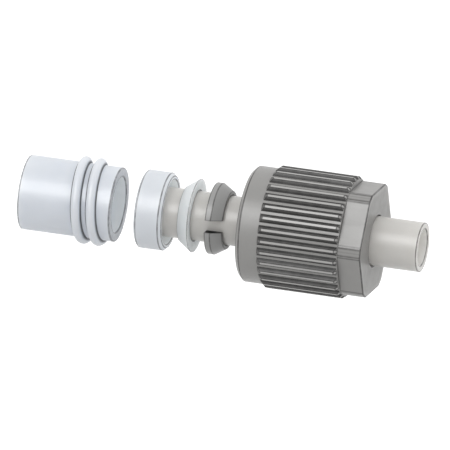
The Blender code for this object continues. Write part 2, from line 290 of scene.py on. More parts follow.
@dataclass(frozen=True)
class RoundThread:
    """A round ridge that winds along the axis and fades out at both ends.

    pitch: advance of one turn; turns: its length; middle: place of its middle; middle_angle: the middle's angle;
    radius: of its round section; rise: height of the section's centre over the wall; sink: how far the ends sink;
    fade: turns over which they do so; fillet: blend at the foot; steep: share of the radius that stays round;
    end_radius: share of the radius left at the ends; foot_line: half width of the line of painted shade along the
    foot; foot_fade: width of the strip over which it fades; past_end: turns worked out past each end.
    """

    pitch: float
    turns: float
    middle: float
    middle_angle: float
    radius: float
    rise: float
    sink: float
    fade: float = 0.12
    fillet: float = 0.1
    steep: float = 0.96
    end_radius: float = 0.45
    foot_line: float = 0.054
    foot_fade: float = 0.09
    past_end: float = 0.05

    def surface(self, along: Array, angle: Array) -> tuple[Array, Array]:
        """Work out the height over the wall, and the nearness to the ridge's foot.

        The nearest turn t of the helix is found for each point, with d its distance from the point along the axis.
        The section is rise + sqrt(radius^2 - d^2), with a straight foot outside steep * radius. A smooth maximum
        with the wall, where the two differ by less than the fillet, blends the foot. Towards the ends the centre
        sinks and the radius shrinks with the sine of what is left. With side = sqrt(1 - steep^2) the section meets
        the wall at steep * radius + (rise + side * radius) / slope on the straight foot, or at
        sqrt(radius^2 - rise^2) on the round part of a sunk ridge.

        Args:
            along: places along the axis.
            angle: angles round it.

        Returns:
            Heights, zero away from the ridge, and 1 on the foot's line falling to 0 beside it.
        """
        base = (self.middle_angle - angle) / TAU
        turn = base + np.round((along - self.middle) / self.pitch - base)
        off = np.abs(along - self.middle - turn * self.pitch)
        left = np.clip((self.turns / 2 - np.abs(turn)) / self.fade, 0.0, 1.0)
        eased = np.sin(left * np.pi / 2)
        radius = self.radius * (self.end_radius + (1 - self.end_radius) * eased)
        straight = self.steep * radius
        side = math.sqrt(1 - self.steep**2)
        slope = self.steep / side
        round_top = np.sqrt(radius**2 - np.minimum(off, straight) ** 2) - slope * np.maximum(off - straight, 0.0)
        rise = self.rise - self.sink * (1 - eased)
        over = rise + round_top
        near = np.maximum(self.fillet - np.abs(over), 0.0)
        height = np.maximum(over, 0.0) + near**2 / (4 * self.fillet)
        on_round = np.sqrt(np.maximum(radius**2 - rise**2, 0.0))
        kink = rise + side * radius
        place = np.where(kink > 0.0, straight + kink / slope, on_round)
        # The foot's line becomes the corner value, where the corner tone paints shade along the crease at the foot.
        foot = np.clip(1 + (self.foot_line - np.abs(off - place)) / self.foot_fade, 0.0, 1.0)
        foot = foot * np.clip((rise + radius) / self.fillet, 0.0, 1.0)
        near_ridge = np.abs(turn) < self.turns / 2 + self.past_end
        return np.where(near_ridge, height, 0.0), np.where(near_ridge, foot, 0.0)

    def on_wall(self, wall: float, side: int, places: Array, around: Array) -> Patch:
        """Make the rows of a wall that carries the ridge.

        Args:
            wall: the wall's radius.
            side: 1 where the ridge stands outwards, -1 inwards.
            places: place of each row along the axis.
            around: angle of each column.

        Returns:
            The rows, with the ridge's foot as their corner.
        """
        rows = places[:, None] * np.ones(len(around))
        angle = np.broadcast_to(around, rows.shape)
        height, foot = self.surface(rows, angle)
        return Patch(rows, wall + side * height, angle, np.zeros(rows.shape), foot)


# Finishes

class Marks(Enum):
    """What making the piece left on its surface."""

    TURNED = "fine rings from the lathe"
    MOULDED = "fine grain of the mould"
    DRAWN = "faint lines along the axis"


class Graph:
    """Adds nodes to a node tree and links them."""

    def __init__(self, tree: bpy.types.NodeTree) -> None:
        """Keep the tree."""
        self.tree = tree

    def fill(self, node: bpy.types.Node, inputs: dict[Any, Any]) -> bpy.types.Node:
        """Link or set a node's inputs.

        Args:
            node: the node.
            inputs: values or sockets by input name or number.

        Returns:
            The same node.
        """
        for key, value in inputs.items():
            if isinstance(value, bpy.types.NodeSocket):
                self.tree.links.new(value, node.inputs[key])
            else:
                node.inputs[key].default_value = value
        return node

    def add(self, kind: str, inputs: dict[Any, Any] | None = None, **settings: Any) -> bpy.types.Node:
        """Add a node.

        Args:
            kind: the node type, without the prefix ShaderNode.
            inputs: values or sockets by input name or number.
            settings: properties of the node.

        Returns:
            The node.
        """
        node = self.tree.nodes.new("ShaderNode" + kind)
        for key, value in settings.items():
            setattr(node, key, value)
        return self.fill(node, inputs or {})

    def group(self, tree: bpy.types.NodeTree, inputs: dict[str, Any]) -> Any:
        """Outputs of a shared group, placed with its own inputs."""
        return self.add("Group", inputs, node_tree=tree).outputs

    def math(self, operation: str, *values: Any, clamp: bool = False) -> bpy.types.NodeSocket:
        """Output of a Math node on the given values or sockets."""
        return self.add("Math", dict(enumerate(values)), operation=operation, use_clamp=clamp).outputs[0]

    def mix(self, share: Any, first: Any, second: Any) -> bpy.types.NodeSocket:
        """Output of a colour mix: first where share is 0, second where it is 1."""
        return self.add("Mix", {"Factor": share, 6: first, 7: second}, data_type="RGBA").outputs[2]

    def noise(self, inputs: dict[str, Any], **settings: Any) -> bpy.types.NodeSocket:
        """Output of a Noise Texture node, round 0.5."""
        return self.add("TexNoise", inputs, **settings).outputs["Fac"]

    def span(self, value: Any, low: float, high: float, to_low: float = 0.0, to_high: float = 1.0) -> Any:
        """Output of a Map Range node with a smooth step from low..high to to_low..to_high."""
        ends = {"Value": value, "From Min": low, "From Max": high, "To Min": to_low, "To Max": to_high}
        return self.add("MapRange", ends, interpolation_type="SMOOTHSTEP").outputs["Result"]


def new_group(name: str, inputs: dict[str, Any], outputs: dict[str, str]) -> tuple[Graph, Any, Any]:
    """Start a shader node group.

    Args:
        name: the group's name.
        inputs: default values by name; a number makes a float socket, "vector" and "colour" the others.
        outputs: "float" or "colour" by name.

    Returns:
        The graph, what the group is given, and its output node.
    """
    tree = bpy.data.node_groups.new(name, "ShaderNodeTree")
    kinds = {"vector": "NodeSocketVector", "colour": "NodeSocketColor", "float": "NodeSocketFloat"}
    for label, value in inputs.items():
        kind = kinds[value] if isinstance(value, str) else "NodeSocketFloat"
        socket = tree.interface.new_socket(label, in_out="INPUT", socket_type=kind)
        if not isinstance(value, str):
            socket.default_value = value
    for label, value in outputs.items():
        tree.interface.new_socket(label, in_out="OUTPUT", socket_type=kinds[value])
    return Graph(tree), tree.nodes.new("NodeGroupInput").outputs, tree.nodes.new("NodeGroupOutput")


def make_axis_group() -> bpy.types.NodeTree:
    """Place on the piece in millimetres: along the axis and distance from it.

    Returns:
        The group, with the outputs Along and Radius.
    """
    graph, given, made = new_group("round_the_axis", {"Vector": "vector"}, {"Along": "float", "Radius": "float"})
    split = graph.add("SeparateXYZ", {0: given["Vector"]})
    along, across, up = [graph.math("MULTIPLY", output, 1 / MM) for output in split.outputs]
    squares = graph.math("ADD", graph.math("MULTIPLY", across, across), graph.math("MULTIPLY", up, up))
    graph.fill(made, {"Along": along, "Radius": graph.math("SQRT", squares)})
    return graph.tree


def make_tone_group() -> bpy.types.NodeTree:
    """Slow clouds and fine specks in the colour of a piece.

    Returns:
        The group, with the outputs Cloud and Speck, both 0 to 1.
    """
    graph, given, made = new_group("clouds_and_specks",
                                   {"Vector": "vector", "Cloud Scale": 160.0, "Speck Scale": 4200.0},
                                   {"Cloud": "float", "Speck": "float"})
    vector = given["Vector"]
    cloud = graph.noise({"Vector": vector, "Scale": given["Cloud Scale"], "Detail": 3.0, "Roughness": 0.55})
    speck = graph.noise({"Vector": vector, "Scale": given["Speck Scale"], "Detail": 2.0, "Roughness": 0.6})
    graph.fill(made, {"Cloud": graph.span(cloud, 0.3, 0.7), "Speck": graph.span(speck, 0.35, 0.68)})
    return graph.tree


def make_turned_group() -> bpy.types.NodeTree:
    """Fine uneven rings from the lathe: waves of the place along the axis plus the distance from it.

    Returns:
        The group. Its output Height is 0 to 1, and Gleam is a slower band that changes the roughness.
    """
    graph, given, made = new_group("turned_rings", {"Along": 0.0, "Radius": 0.0, "Pitch": 0.14},
                                   {"Height": "float", "Gleam": "float"})
    path = graph.math("ADD", given["Along"], given["Radius"])
    drift = graph.noise({"W": path, "Scale": 1.7, "Detail": 2.0}, noise_dimensions="1D")
    moved = graph.math("ADD", path, graph.math("MULTIPLY", drift, 0.35))
    phase = graph.math("DIVIDE", graph.math("MULTIPLY", moved, TAU), given["Pitch"])
    wave = graph.math("MULTIPLY_ADD", graph.math("SINE", phase), 0.5, 0.5)
    rough = graph.noise({"W": path, "Scale": 22.0, "Detail": 3.0}, noise_dimensions="1D")
    height = graph.math("MULTIPLY", wave, graph.span(rough, 0.3, 0.7, 0.35, 1.0))
    graph.fill(made, {"Height": height, "Gleam": graph.span(drift, 0.35, 0.65)})
    return graph.tree


def make_moulded_group() -> bpy.types.NodeTree:
    """Fine leathery grain of a moulded plastic and the faint flow bands of its filling, drawn out along the axis.

    Returns:
        The group, with the outputs Height, of the grain, and Gleam, of the flow bands.
    """
    graph, given, made = new_group("moulded_grain", {"Vector": "vector", "Scale": 5200.0},
                                   {"Height": "float", "Gleam": "float"})
    grain = {"Vector": given["Vector"], "Scale": given["Scale"]}
    cells = graph.add("TexVoronoi", grain, feature="SMOOTH_F1").outputs["Distance"]
    fine = graph.noise({**grain, "Detail": 3.0, "Roughness": 0.65})
    height = graph.math("ADD", graph.math("MULTIPLY", cells, 0.6), graph.math("MULTIPLY", fine, 0.6))
    place = graph.add("Mapping", {"Vector": given["Vector"], "Scale": (120.0, 500.0, 500.0)}).outputs[0]
    flow = graph.noise({"Vector": place, "Scale": 1.0, "Detail": 4.0, "Distortion": 0.6})
    graph.fill(made, {"Height": height, "Gleam": graph.span(flow, 0.3, 0.7)})
    return graph.tree


def make_drawn_group() -> bpy.types.NodeTree:
    """Faint lines along the axis, as drawing and extruding leave them: noise stretched along the axis.

    Returns:
        The group, with the outputs Height, of fine lines, and Gleam, of wide ones.
    """
    graph, given, made = new_group("drawn_lines", {"Vector": "vector"}, {"Height": "float", "Gleam": "float"})
    place = graph.add("Mapping", {"Vector": given["Vector"], "Scale": (30.0, 3000.0, 3000.0)}).outputs[0]
    lines = graph.noise({"Vector": place, "Scale": 1.0, "Detail": 3.0})
    wide = graph.noise({"Vector": place, "Scale": 0.25, "Detail": 1.0})
    graph.fill(made, {"Height": graph.span(lines, 0.3, 0.7), "Gleam": graph.span(wide, 0.3, 0.7)})
    return graph.tree


def make_wear_group() -> bpy.types.NodeTree:
    """Edges greyed by handling and painted shade in the corners, both broken up by noise. The edge tone also
    paints shade where a piece marks a face as edge, as on the glass end's right face.

    Returns:
        The group. Its output Colour is the colour with both, and Painted Shade is the share of the painted shade.
    """
    graph, given, made = new_group(
        "edges_and_corners",
        {"Colour": "colour", "Edge Colour": "colour", "Corner Colour": "colour", "Vector": "vector",
         "Edge": 0.0, "Corner": 0.0, "Edge Share": 0.5, "Corner Share": 0.5},
        {"Colour": "colour", "Dusty": "float"})
    broken = graph.noise({"Vector": given["Vector"], "Scale": 900.0, "Detail": 3.0})
    rubbed = graph.math("MULTIPLY", given["Edge"], given["Edge Share"])
    worn = graph.math("MULTIPLY", rubbed, graph.span(broken, 0.3, 0.65, 0.7, 1.0))
    # Painted shade: the corner tone darkens corners, creases and the other places that the corner value marks.
    filled = graph.math("MULTIPLY", given["Corner"], given["Corner Share"])
    shade_share = graph.math("MULTIPLY", filled, graph.span(broken, 0.25, 0.75, 0.9, 1.0))
    colour = graph.mix(shade_share, graph.mix(worn, given["Colour"], given["Edge Colour"]), given["Corner Colour"])
    graph.fill(made, {"Colour": colour, "Dusty": shade_share})
    return graph.tree


class Groups:
    """The shared effects, each built once."""

    def __init__(self) -> None:
        """Build every group."""
        self.axis = make_axis_group()
        self.tone = make_tone_group()
        self.turned = make_turned_group()
        self.moulded = make_moulded_group()
        self.drawn = make_drawn_group()
        self.wear = make_wear_group()


def linear(*screen: int) -> Colour:
    """Turn a screen colour into the linear values that a shader takes, with the standard screen curve.

    Args:
        screen: its red, green and blue, 0 to 255.

    Returns:
        Red, green, blue and 1 for alpha.
    """
    share = np.array(screen) / 255
    light = np.where(share <= 0.04045, share / 12.92, ((share + 0.055) / 1.055) ** 2.4)
    return (*light.tolist(), 1.0)


@dataclass(frozen=True)
class Finish:
    """The look of one piece's material.

    colour and shade are the two tones of its clouds and specks, edge the tone of its edges, greyed by handling, and
    corner the tone of the painted shade in its corners, creases and other shaded places. roughness_spread is how far
    the roughness varies, and shade_roughness what the painted shade adds to it. depth is how much light enters the
    piece and comes out elsewhere, and depth_reach how far that light gets, in metres. second is a tone of painted
    light that takes over as the distance from the axis goes from second_from to second_to, in millimetres: it
    brightens a bore against its shade, or the rib tops. On the glass end the edge tone also paints shade on the
    right face. mark_height is the depth of its marks in metres, and mark_scale their pitch in millimetres on a
    turned piece and their texture scale on a moulded one.
    """

    name: str
    marks: Marks
    colour: Colour
    shade: Colour
    edge: Colour
    corner: Colour
    edge_share: float = 0.85
    corner_share: float = 0.5
    roughness: float = 0.4
    roughness_spread: float = 0.1
    shade_roughness: float = 0.25
    specular: float = 0.5
    depth: float = 0.0
    depth_reach: float = 0.002
    second: Colour | None = None
    second_from: float = 0.0
    second_to: float = 0.0
    mark_height: float = 0.000005
    mark_scale: float = 0.14
    cloud_share: float = 0.6
    speck_share: float = 0.25

    def marks_of(self, graph: Graph, groups: Groups, vector: Any) -> Any:
        """Place the group of the marks that this finish has.

        Args:
            graph: the material's graph.
            groups: the shared effects.
            vector: the place on the piece.

        Returns:
            Its outputs, among them Height and Gleam.
        """
        if self.marks is Marks.TURNED:
            axis = graph.group(groups.axis, {"Vector": vector})
            return graph.group(groups.turned, {"Along": axis["Along"], "Radius": axis["Radius"],
                                               "Pitch": self.mark_scale})
        if self.marks is Marks.MOULDED:
            return graph.group(groups.moulded, {"Vector": vector, "Scale": self.mark_scale})
        return graph.group(groups.drawn, {"Vector": vector})

    def build(self, groups: Groups) -> bpy.types.Material:
        """Build the material.

        Args:
            groups: the shared effects.

        Returns:
            The material, with colour, roughness and bump from its nodes.
        """
        made = bpy.data.materials.new(self.name)
        made.use_nodes = True
        graph = Graph(made.node_tree)
        vector = graph.add("TexCoord").outputs["Object"]
        tone = graph.group(groups.tone, {"Vector": vector})
        marks = self.marks_of(graph, groups, vector)
        cloudy = graph.mix(graph.math("MULTIPLY", tone["Cloud"], self.cloud_share), self.colour, self.shade)
        tone_and_painted_light = graph.mix(graph.math("MULTIPLY", tone["Speck"], self.speck_share), cloudy, self.shade)
        # Painted light: the second tone brightens a bore against its shade, or the rib tops.
        if self.second is not None:
            radius = graph.group(groups.axis, {"Vector": vector})["Radius"]
            tone_and_painted_light = graph.mix(graph.span(radius, self.second_from, self.second_to), tone_and_painted_light, self.second)
        wear = graph.group(groups.wear, {
            "Colour": tone_and_painted_light, "Edge Colour": self.edge, "Corner Colour": self.corner, "Vector": vector,
            "Edge": graph.add("Attribute", attribute_name="edge").outputs["Fac"],
            "Corner": graph.add("Attribute", attribute_name="corner").outputs["Fac"],
            "Edge Share": self.edge_share, "Corner Share": self.corner_share})
        lowest = self.roughness - self.roughness_spread / 2
        varied = graph.math("MULTIPLY_ADD", marks["Gleam"], self.roughness_spread, lowest)
        # The roughness rises where the painted shade lies.
        rough = graph.math("MULTIPLY_ADD", wear["Dusty"], self.shade_roughness, varied, clamp=True)
        bump = graph.add("Bump", {"Height": marks["Height"], "Distance": self.mark_height, "Strength": 1.0})
        graph.fill(made.node_tree.nodes["Principled BSDF"], {
            "Base Color": wear["Colour"], "Roughness": rough, "Normal": bump.outputs["Normal"],
            "Specular IOR Level": self.specular, "Subsurface Weight": self.depth,
            "Subsurface Radius": (1.0, 1.0, 1.0), "Subsurface Scale": self.depth_reach})
        return made


# Glass: the corner tone is painted shade along the thread's feet, the edge tone also paints shade on the right face,
# and the second tone is painted light in the bore.
GLASS = Finish("opal_glass", Marks.DRAWN, linear(222, 226, 232), linear(214, 219, 226), linear(64, 67, 72),
               linear(70, 74, 80), corner_share=0.95, roughness=0.44, roughness_spread=0.06, specular=1.0,
               depth=1.0, second=linear(242, 247, 254), second_from=4.6, second_to=4.55,
               mark_height=0.000003, speck_share=0.1)
# Insert: the second tone is painted light in the bore and the conical seat.
INSERT = Finish("turned_insert_white", Marks.TURNED, linear(222, 226, 231), linear(214, 218, 224),
                linear(64, 67, 72), linear(100, 105, 111), roughness=0.44, roughness_spread=0.06, specular=1.0,
                depth=1.0, second=linear(240, 245, 252), second_from=5.25, second_to=5.2,
                mark_scale=0.13, speck_share=0.12)
CONE = Finish("turned_cone_white", Marks.TURNED, linear(232, 237, 239), linear(225, 231, 233),
              linear(64, 68, 70), linear(100, 106, 108), roughness=0.45, depth=1.0, depth_reach=0.0015,
              mark_scale=0.1, speck_share=0.15)
RING = Finish("moulded_ring_grey", Marks.MOULDED, linear(160, 160, 159), linear(151, 151, 150),
              linear(52, 50, 49), linear(52, 50, 49), edge_share=0.7, corner_share=0.8, roughness=0.38,
              mark_height=0.000013, mark_scale=5600.0)
# Cap: the corner tone is painted shade on the rib flanks, the sloping rib ends, the creases and the right face; the
# second tone is painted light on the rib tops.
CAP = Finish("moulded_cap_grey", Marks.MOULDED, linear(156, 155, 153), linear(147, 146, 144),
             linear(34, 32, 31), linear(24, 22, 21), corner_share=1.0, roughness=0.36,
             second=linear(180, 179, 177), second_from=9.6, second_to=9.84,
             mark_height=0.000013, mark_scale=5000.0)
# Tube: the second tone is painted light in the bore.
TUBE = Finish("extruded_tube_white", Marks.DRAWN, linear(215, 213, 209), linear(207, 205, 201),
              linear(62, 59, 57), linear(110, 108, 104), roughness=0.34, roughness_spread=0.06,
              depth=0.6, depth_reach=0.0015, second=linear(246, 244, 240), second_from=3.07, second_to=3.02,
              mark_height=0.000004, speck_share=0.15)


def dress(piece: bpy.types.Object, finish: Finish, groups: Groups, body: str, node: str) -> bpy.types.Object:
    """Give a piece its finish and its body, and hide the CAD node that it stands for.

    Args:
        piece: the piece.
        finish: its finish.
        groups: the shared effects.
        body: the body that it rides on.
        node: the CAD node.

    Returns:
        The same piece.
    """
    piece.data.materials.append(finish.build(groups))
    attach(piece, body)
    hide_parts(node)
    LOG.info("%s: %d faces, finish %s", piece.name, len(piece.data.polygons), finish.name)
    return piece


def start_of(node: str) -> float:
    """Place of a CAD node's left end on the world's X, in millimetres."""
    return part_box(node)[0].x / MM


# Pieces

class Piece:
    """A piece of the row: a closed skin that stands for one CAD node and rides on one body."""

    name: ClassVar[str]
    node: ClassVar[str]
    body: ClassVar[str]
    finish: ClassVar[Finish]

    def skin(self) -> list[Patch]:
        """The patches of the skin, in the order of the profile."""
        raise NotImplementedError

    def build(self, groups: Groups) -> bpy.types.Object:
        """Build, dress and report the piece."""
        piece = close_skin(self.name, self.skin(), start_of(self.node))
        return dress(piece, self.finish, groups, self.body, self.node)


@dataclass
class GlassEnd(Piece):
    """Threaded end of a 12 mm glass tube, its lips melted round.

    The right face takes part of the edge tone by face_painted_shade: painted shade on a face turned from the light.
    thread_margin is the length of dense rows past each end of the thread.
    """

    name: ClassVar[str] = "glass_end"
    node: ClassVar[str] = "threaded_glass_end"
    body: ClassVar[str] = "glass"
    finish: ClassVar[Finish] = GLASS
    length: float = 15.3
    outer: float = 6.0
    bore: float = 4.5
    outer_lip: float = 0.12
    inner_lip: float = 0.1
    lip_steps: int = 6
    face_painted_shade: float = 0.5
    thread_margin: float = 1.0
    thread_steps: int = 250
    columns: int = 224
    thread: RoundThread = field(default_factory=lambda: RoundThread(
        pitch=2.5, turns=2.0, middle=10.955, middle_angle=math.pi, radius=0.72, rise=0.28, sink=0.7))

    def skin(self) -> list[Patch]:
        """Make the bored tube as one profile, with dense rows where the thread lies.

        Returns:
            One patch.
        """
        wall = (self.outer + self.bore) / 2
        ends = lathe([(0.0, wall), (0.0, self.outer), (self.length, self.outer), (self.length, self.bore),
                      (0.0, self.bore), (0.0, wall)],
                     [self.outer_lip] * 2 + [self.inner_lip] * 2, self.columns, self.lip_steps)
        # Painted shade: the right face takes part of the edge tone, darker as a face turned from the light.
        ends.edge = np.maximum(ends.edge, self.face_painted_shade * (ends.along > self.length - NEAR))
        reach = self.thread.pitch * self.thread.turns / 2 + self.thread_margin
        first, last = self.thread.middle - reach, self.thread.middle + reach
        cut = int(np.argmax(ends.along[:, 0] > first))
        ridge = self.thread.on_wall(self.outer, 1, np.linspace(first, last, self.thread_steps), ends.angle[0])
        return [ends.with_rows(cut, ridge).without_last_row()]


@dataclass
class SealingInsert(Piece):
    """Turned ring with a flat seat on the left and a conical seat on the right."""

    name: ClassVar[str] = "sealing_insert_fine"
    node: ClassVar[str] = "sealing_insert"
    body: ClassVar[str] = "insert"
    finish: ClassVar[Finish] = INSERT
    length: float = 4.5
    outer: float = 6.3
    bore: float = 4.12
    mouth: float = 5.3
    seat_depth: float = 1.667
    left_chamfer: float = 0.25
    right_chamfer: float = 0.5
    edge: float = 0.06

    def skin(self) -> list[Patch]:
        """Make one turned profile, from the middle of the left face round and back to it.

        Returns:
            One patch.
        """
        wall = (self.outer + self.bore) / 2
        corners = [(0.0, wall), (0.0, self.outer - self.left_chamfer), (self.left_chamfer, self.outer),
                   (self.length - self.right_chamfer, self.outer), (self.length, self.outer - self.right_chamfer),
                   (self.length, self.mouth), (self.length - self.seat_depth, self.bore), (0.0, self.bore),
                   (0.0, wall)]
        return [lathe(corners, [self.edge] * 7).without_last_row()]


@dataclass
class SealingCone(Piece):
    """Small turned cone with a sharp wide rim."""

    name: ClassVar[str] = "sealing_cone_fine"
    node: ClassVar[str] = "sealing_cone"
    body: ClassVar[str] = "cone"
    finish: ClassVar[Finish] = CONE
    length: float = 2.1
    small: float = 4.5
    large: float = 5.93
    bore: float = 4.12
    rim: float = 0.08
    face_edge: float = 0.06
    rim_edge: float = 0.03
    guard: float = 0.08

    def skin(self) -> list[Patch]:
        """Make one turned profile, from the middle of the left face round and back to it.

        Returns:
            One patch.
        """
        nose = (self.small + self.bore) / 2
        corners = [(0.0, nose), (0.0, self.small), (self.length - self.rim, self.large), (self.length, self.large),
                   (self.length, self.bore), (0.0, self.bore), (0.0, nose)]
        radii = [self.face_edge] + [self.rim_edge] * 2 + [self.face_edge] * 2
        return [lathe(corners, radii, guard=self.guard).without_last_row()]


@dataclass
class ClampingRing(Piece):
    """Split ring: a band, a cone and one slot with parallel walls at the front."""

    name: ClassVar[str] = "clamping_ring_fine"
    node: ClassVar[str] = "clamping_ring"
    body: ClassVar[str] = "ring"
    finish: ClassVar[Finish] = RING
    length: float = 2.72
    band: float = 0.95
    outer: float = 5.78
    end: float = 4.68
    wall: float = 4.9
    bore: float = 4.12
    slot: float = 2.0
    edge: float = 0.07
    slot_edge: float = 0.06
    slot_steps: int = 5
    columns: int = 176

    def skin(self) -> list[Patch]:
        """Make the columns from one slot wall round to the other.

        At distance w from the slot's middle plane the angle is arcsin(w / radius), so the walls stay parallel. Near
        a wall the profile shrinks by f (1 - sin a) while w grows by f (1 - cos a), which rounds the slot's edges.

        Returns:
            One patch, open round the axis.
        """
        corners = np.array([(0.0, self.wall), (0.0, self.outer), (self.band, self.outer), (self.length, self.end),
                            (self.length, self.bore), (0.0, self.bore), (0.0, self.wall)])
        points, edge, corner = [values[:-1] for values in rounded(corners, np.full(5, self.edge))]
        tangent = unit(np.roll(points, -1, axis=0) - np.roll(points, 1, axis=0))
        inward = np.stack([tangent[:, 1], -tangent[:, 0]], axis=-1)
        turn = np.linspace(0.0, np.pi / 2, self.slot_steps)
        shrink = self.slot_edge * (1 - np.sin(turn))
        apart = self.slot / 2 + self.slot_edge * (1 - np.cos(turn))
        wall_points = points[:, None, :] + inward[:, None, :] * shrink[None, :, None]
        wall_angle = np.arcsin(apart[None, :] / wall_points[..., 1])
        share = np.linspace(0.0, 1.0, self.columns)[None, 1:-1]
        first = wall_angle[:, -1:]
        mid_angle = first + (TAU - 2 * first) * share
        mid = np.broadcast_to(points[:, None, :], (len(points), self.columns - 2, 2))
        grid = np.concatenate([wall_points, mid, wall_points[:, ::-1]], axis=1)
        angle = np.concatenate([wall_angle, mid_angle, TAU - wall_angle[:, ::-1]], axis=1)
        tone = 0.5 + 0.5 * np.sin(2 * turn)
        rim = np.concatenate([tone, np.zeros(self.columns - 2), tone[::-1]])
        edges = np.maximum(edge[:, None], rim[None, :])
        return [Patch(grid[..., 0], grid[..., 1], angle, edges, np.broadcast_to(corner[:, None], edges.shape), False)]


@dataclass
class ScrewCap(Piece):
    """Screw cap: chamfered collar, ribbed grip with sloping ends, hexagon with turned corners, stepped bore.

    Fields ending in _arc are radii of rounded edges, _guard distances of the points beside them, the flank, turn,
    crease, slope, root, ridge foot and right face fields how much painted shade a place gets, _shares places of
    points between two ends, and _depth or _inset distances within which a rule holds.
    hex_tones are the edge shares from the middle of a flat to the middle of a corner.
    """

    name: ClassVar[str] = "screw_cap_fine"
    node: ClassVar[str] = "screw_cap"
    body: ClassVar[str] = "cap"
    finish: ClassVar[Finish] = CAP
    collar: float = 3.75
    grip: float = 13.35
    hexagon: float = 3.85
    collar_radius: float = 9.36
    rim_chamfer: float = 0.62
    lead_in: float = 0.4
    thread_bore: float = 7.25
    thread_bore_end: float = 8.615
    insert_bore: float = 6.6
    seat_start: float = 15.38
    seat_end: float = 19.32
    tube_hole: float = 4.15
    hole_face: float = 0.5
    hole_arc: float = 0.15
    inner_arc: float = 0.1
    outer_arc: float = 0.12
    ridge_start: float = 3.1
    ridge_turns: float = 1.5
    ridge_rows: int = 150
    ridge_margin: float = 0.3
    ridge_foot_shade: float = 0.6
    pitch: float = 2.5
    rib_count: int = 32
    rib_top: float = 9.9
    rib_floor: float = 9.4
    rib_top_width: float = 0.55
    rib_gap_width: float = 0.62
    rib_arc: float = 0.09
    rib_guard: float = 0.08
    rib_steps: int = 4
    flank_shade: float = 0.6
    turn_shade: float = 0.8
    crease_shade: float = 0.8
    slope_shade: float = 0.6
    slope_arcs: tuple[float, ...] = (0.05, 0.08, 0.08, 0.008)
    slope_arc_share: float = 0.3
    slope_guard: float = 0.1
    slope_inset: float = 0.03
    end_inset: float = 0.05
    raised_depth: float = 0.2
    top_depth: float = 0.12
    patch_gap: float = 0.06
    end_step: float = 0.09
    end_bevel: float = 0.012
    flat: float = 8.5
    hex_fillet: float = 1.2
    flat_shares: tuple[float, ...] = (0.0, 0.3, 0.6, 0.85, 0.96)
    tip_shares: tuple[float, ...] = (0.35, 0.7, 1.0)
    fillet_steps: int = 7
    hex_tones: tuple[float, ...] = (0, 0, 0, 0, 0, 0.6, 1, 0.5, 0.2, 0.5, 1, 0.6, 0, 0, 0.3)
    hex_face: float = 1.0
    side_depth: float = 0.2
    root_line: float = 0.1
    root_shade: float = 0.9
    right_face_shade: float = 0.2

    def ridge(self) -> RoundThread:
        """Place the inner ridge in step with the glass thread when every slide of the joint is closed.

        Returns:
            The ridge, whose middle lies midway between two turns of the glass thread, as near as that allows to
            where the ridge is wanted.
        """
        slides = sum(joint["range_m"][1] for joint in frame["joints"]
                     if joint["name"] in ("cone_slide", "ring_slide", "cap_slide")) / MM
        own = start_of("screw_cap") - start_of("threaded_glass_end")
        gap = GlassEnd().thread.middle + slides - own
        wanted = self.ridge_start + self.ridge_turns / 2 * self.pitch
        middle = gap + self.pitch * round((wanted - gap) / self.pitch)
        return RoundThread(self.pitch, self.ridge_turns, middle, 0.0, radius=0.48, rise=0.27, sink=0.65)

    def hollow_and_collar(self) -> Patch:
        """Make the skin from the tube's hole through the bore, round the rim and along the collar to the grip.

        Returns:
            The patch. The ridge stands on the dense rows of the thread bore.
        """
        total = self.collar + self.grip + self.hexagon
        step = self.thread_bore - self.insert_bore
        corners = [(total, self.tube_hole + self.hole_face), (total, self.tube_hole), (self.seat_end, self.tube_hole),
                   (self.seat_start, self.insert_bore), (self.thread_bore_end + step, self.insert_bore),
                   (self.thread_bore_end, self.thread_bore), (self.lead_in, self.thread_bore),
                   (0.0, self.thread_bore + self.lead_in), (0.0, self.collar_radius - self.rim_chamfer),
                   (self.rim_chamfer, self.collar_radius), (self.collar - 2 * self.patch_gap, self.collar_radius)]
        patch = lathe(corners, [self.hole_arc] + [self.inner_arc] * 7 + [self.outer_arc])
        middle = (self.lead_in + self.thread_bore_end) / 2
        cut = int(np.argmax((patch.radius[:, 0] < self.thread_bore + NEAR) & (patch.along[:, 0] < middle)))
        first, last = self.thread_bore_end - self.ridge_margin, self.lead_in + self.ridge_margin
        rows = np.linspace(first, last, self.ridge_rows)
        ridge = self.ridge().on_wall(self.thread_bore, -1, rows, patch.angle[0])
        # Painted shade along the feet of the inner ridge, through the corner tone.
        ridge.corner *= self.ridge_foot_shade
        whole = patch.with_rows(cut, ridge)
        # Painted shade on the cap's right face, through the corner tone.
        whole.corner[0] = self.right_face_shade
        return whole

    def rib_section(self) -> tuple[Array, Array, Array, Array]:
        """Work out the rib pattern round the grip.

        Half a rib is a trapezoid with rounded corners, drawn flat at the mean radius. It is mirrored at the middle
        of the gap and repeated round the grip. The flanks get painted shade, darker further down, and so does the
        turn at their top.

        Returns:
            Angles, radii, how much each column lies on an edge, and its corner value: how much it lies in a corner,
            with the painted shade of the flanks and of the turn at their top.
        """
        mean = (self.rib_top + self.rib_floor) / 2
        pitch = TAU * mean / self.rib_count
        top = self.rib_top_width / 2 * mean / self.rib_top
        foot = pitch / 2 - self.rib_gap_width / 2 * mean / self.rib_floor
        corners = np.array([(0.0, self.rib_top), (top, self.rib_top), (foot, self.rib_floor),
                            (pitch / 2, self.rib_floor)])
        points, edge, corner = rounded(corners, np.full(2, self.rib_arc), self.rib_steps, self.rib_guard)
        across, radius = points[:, 0], points[:, 1]
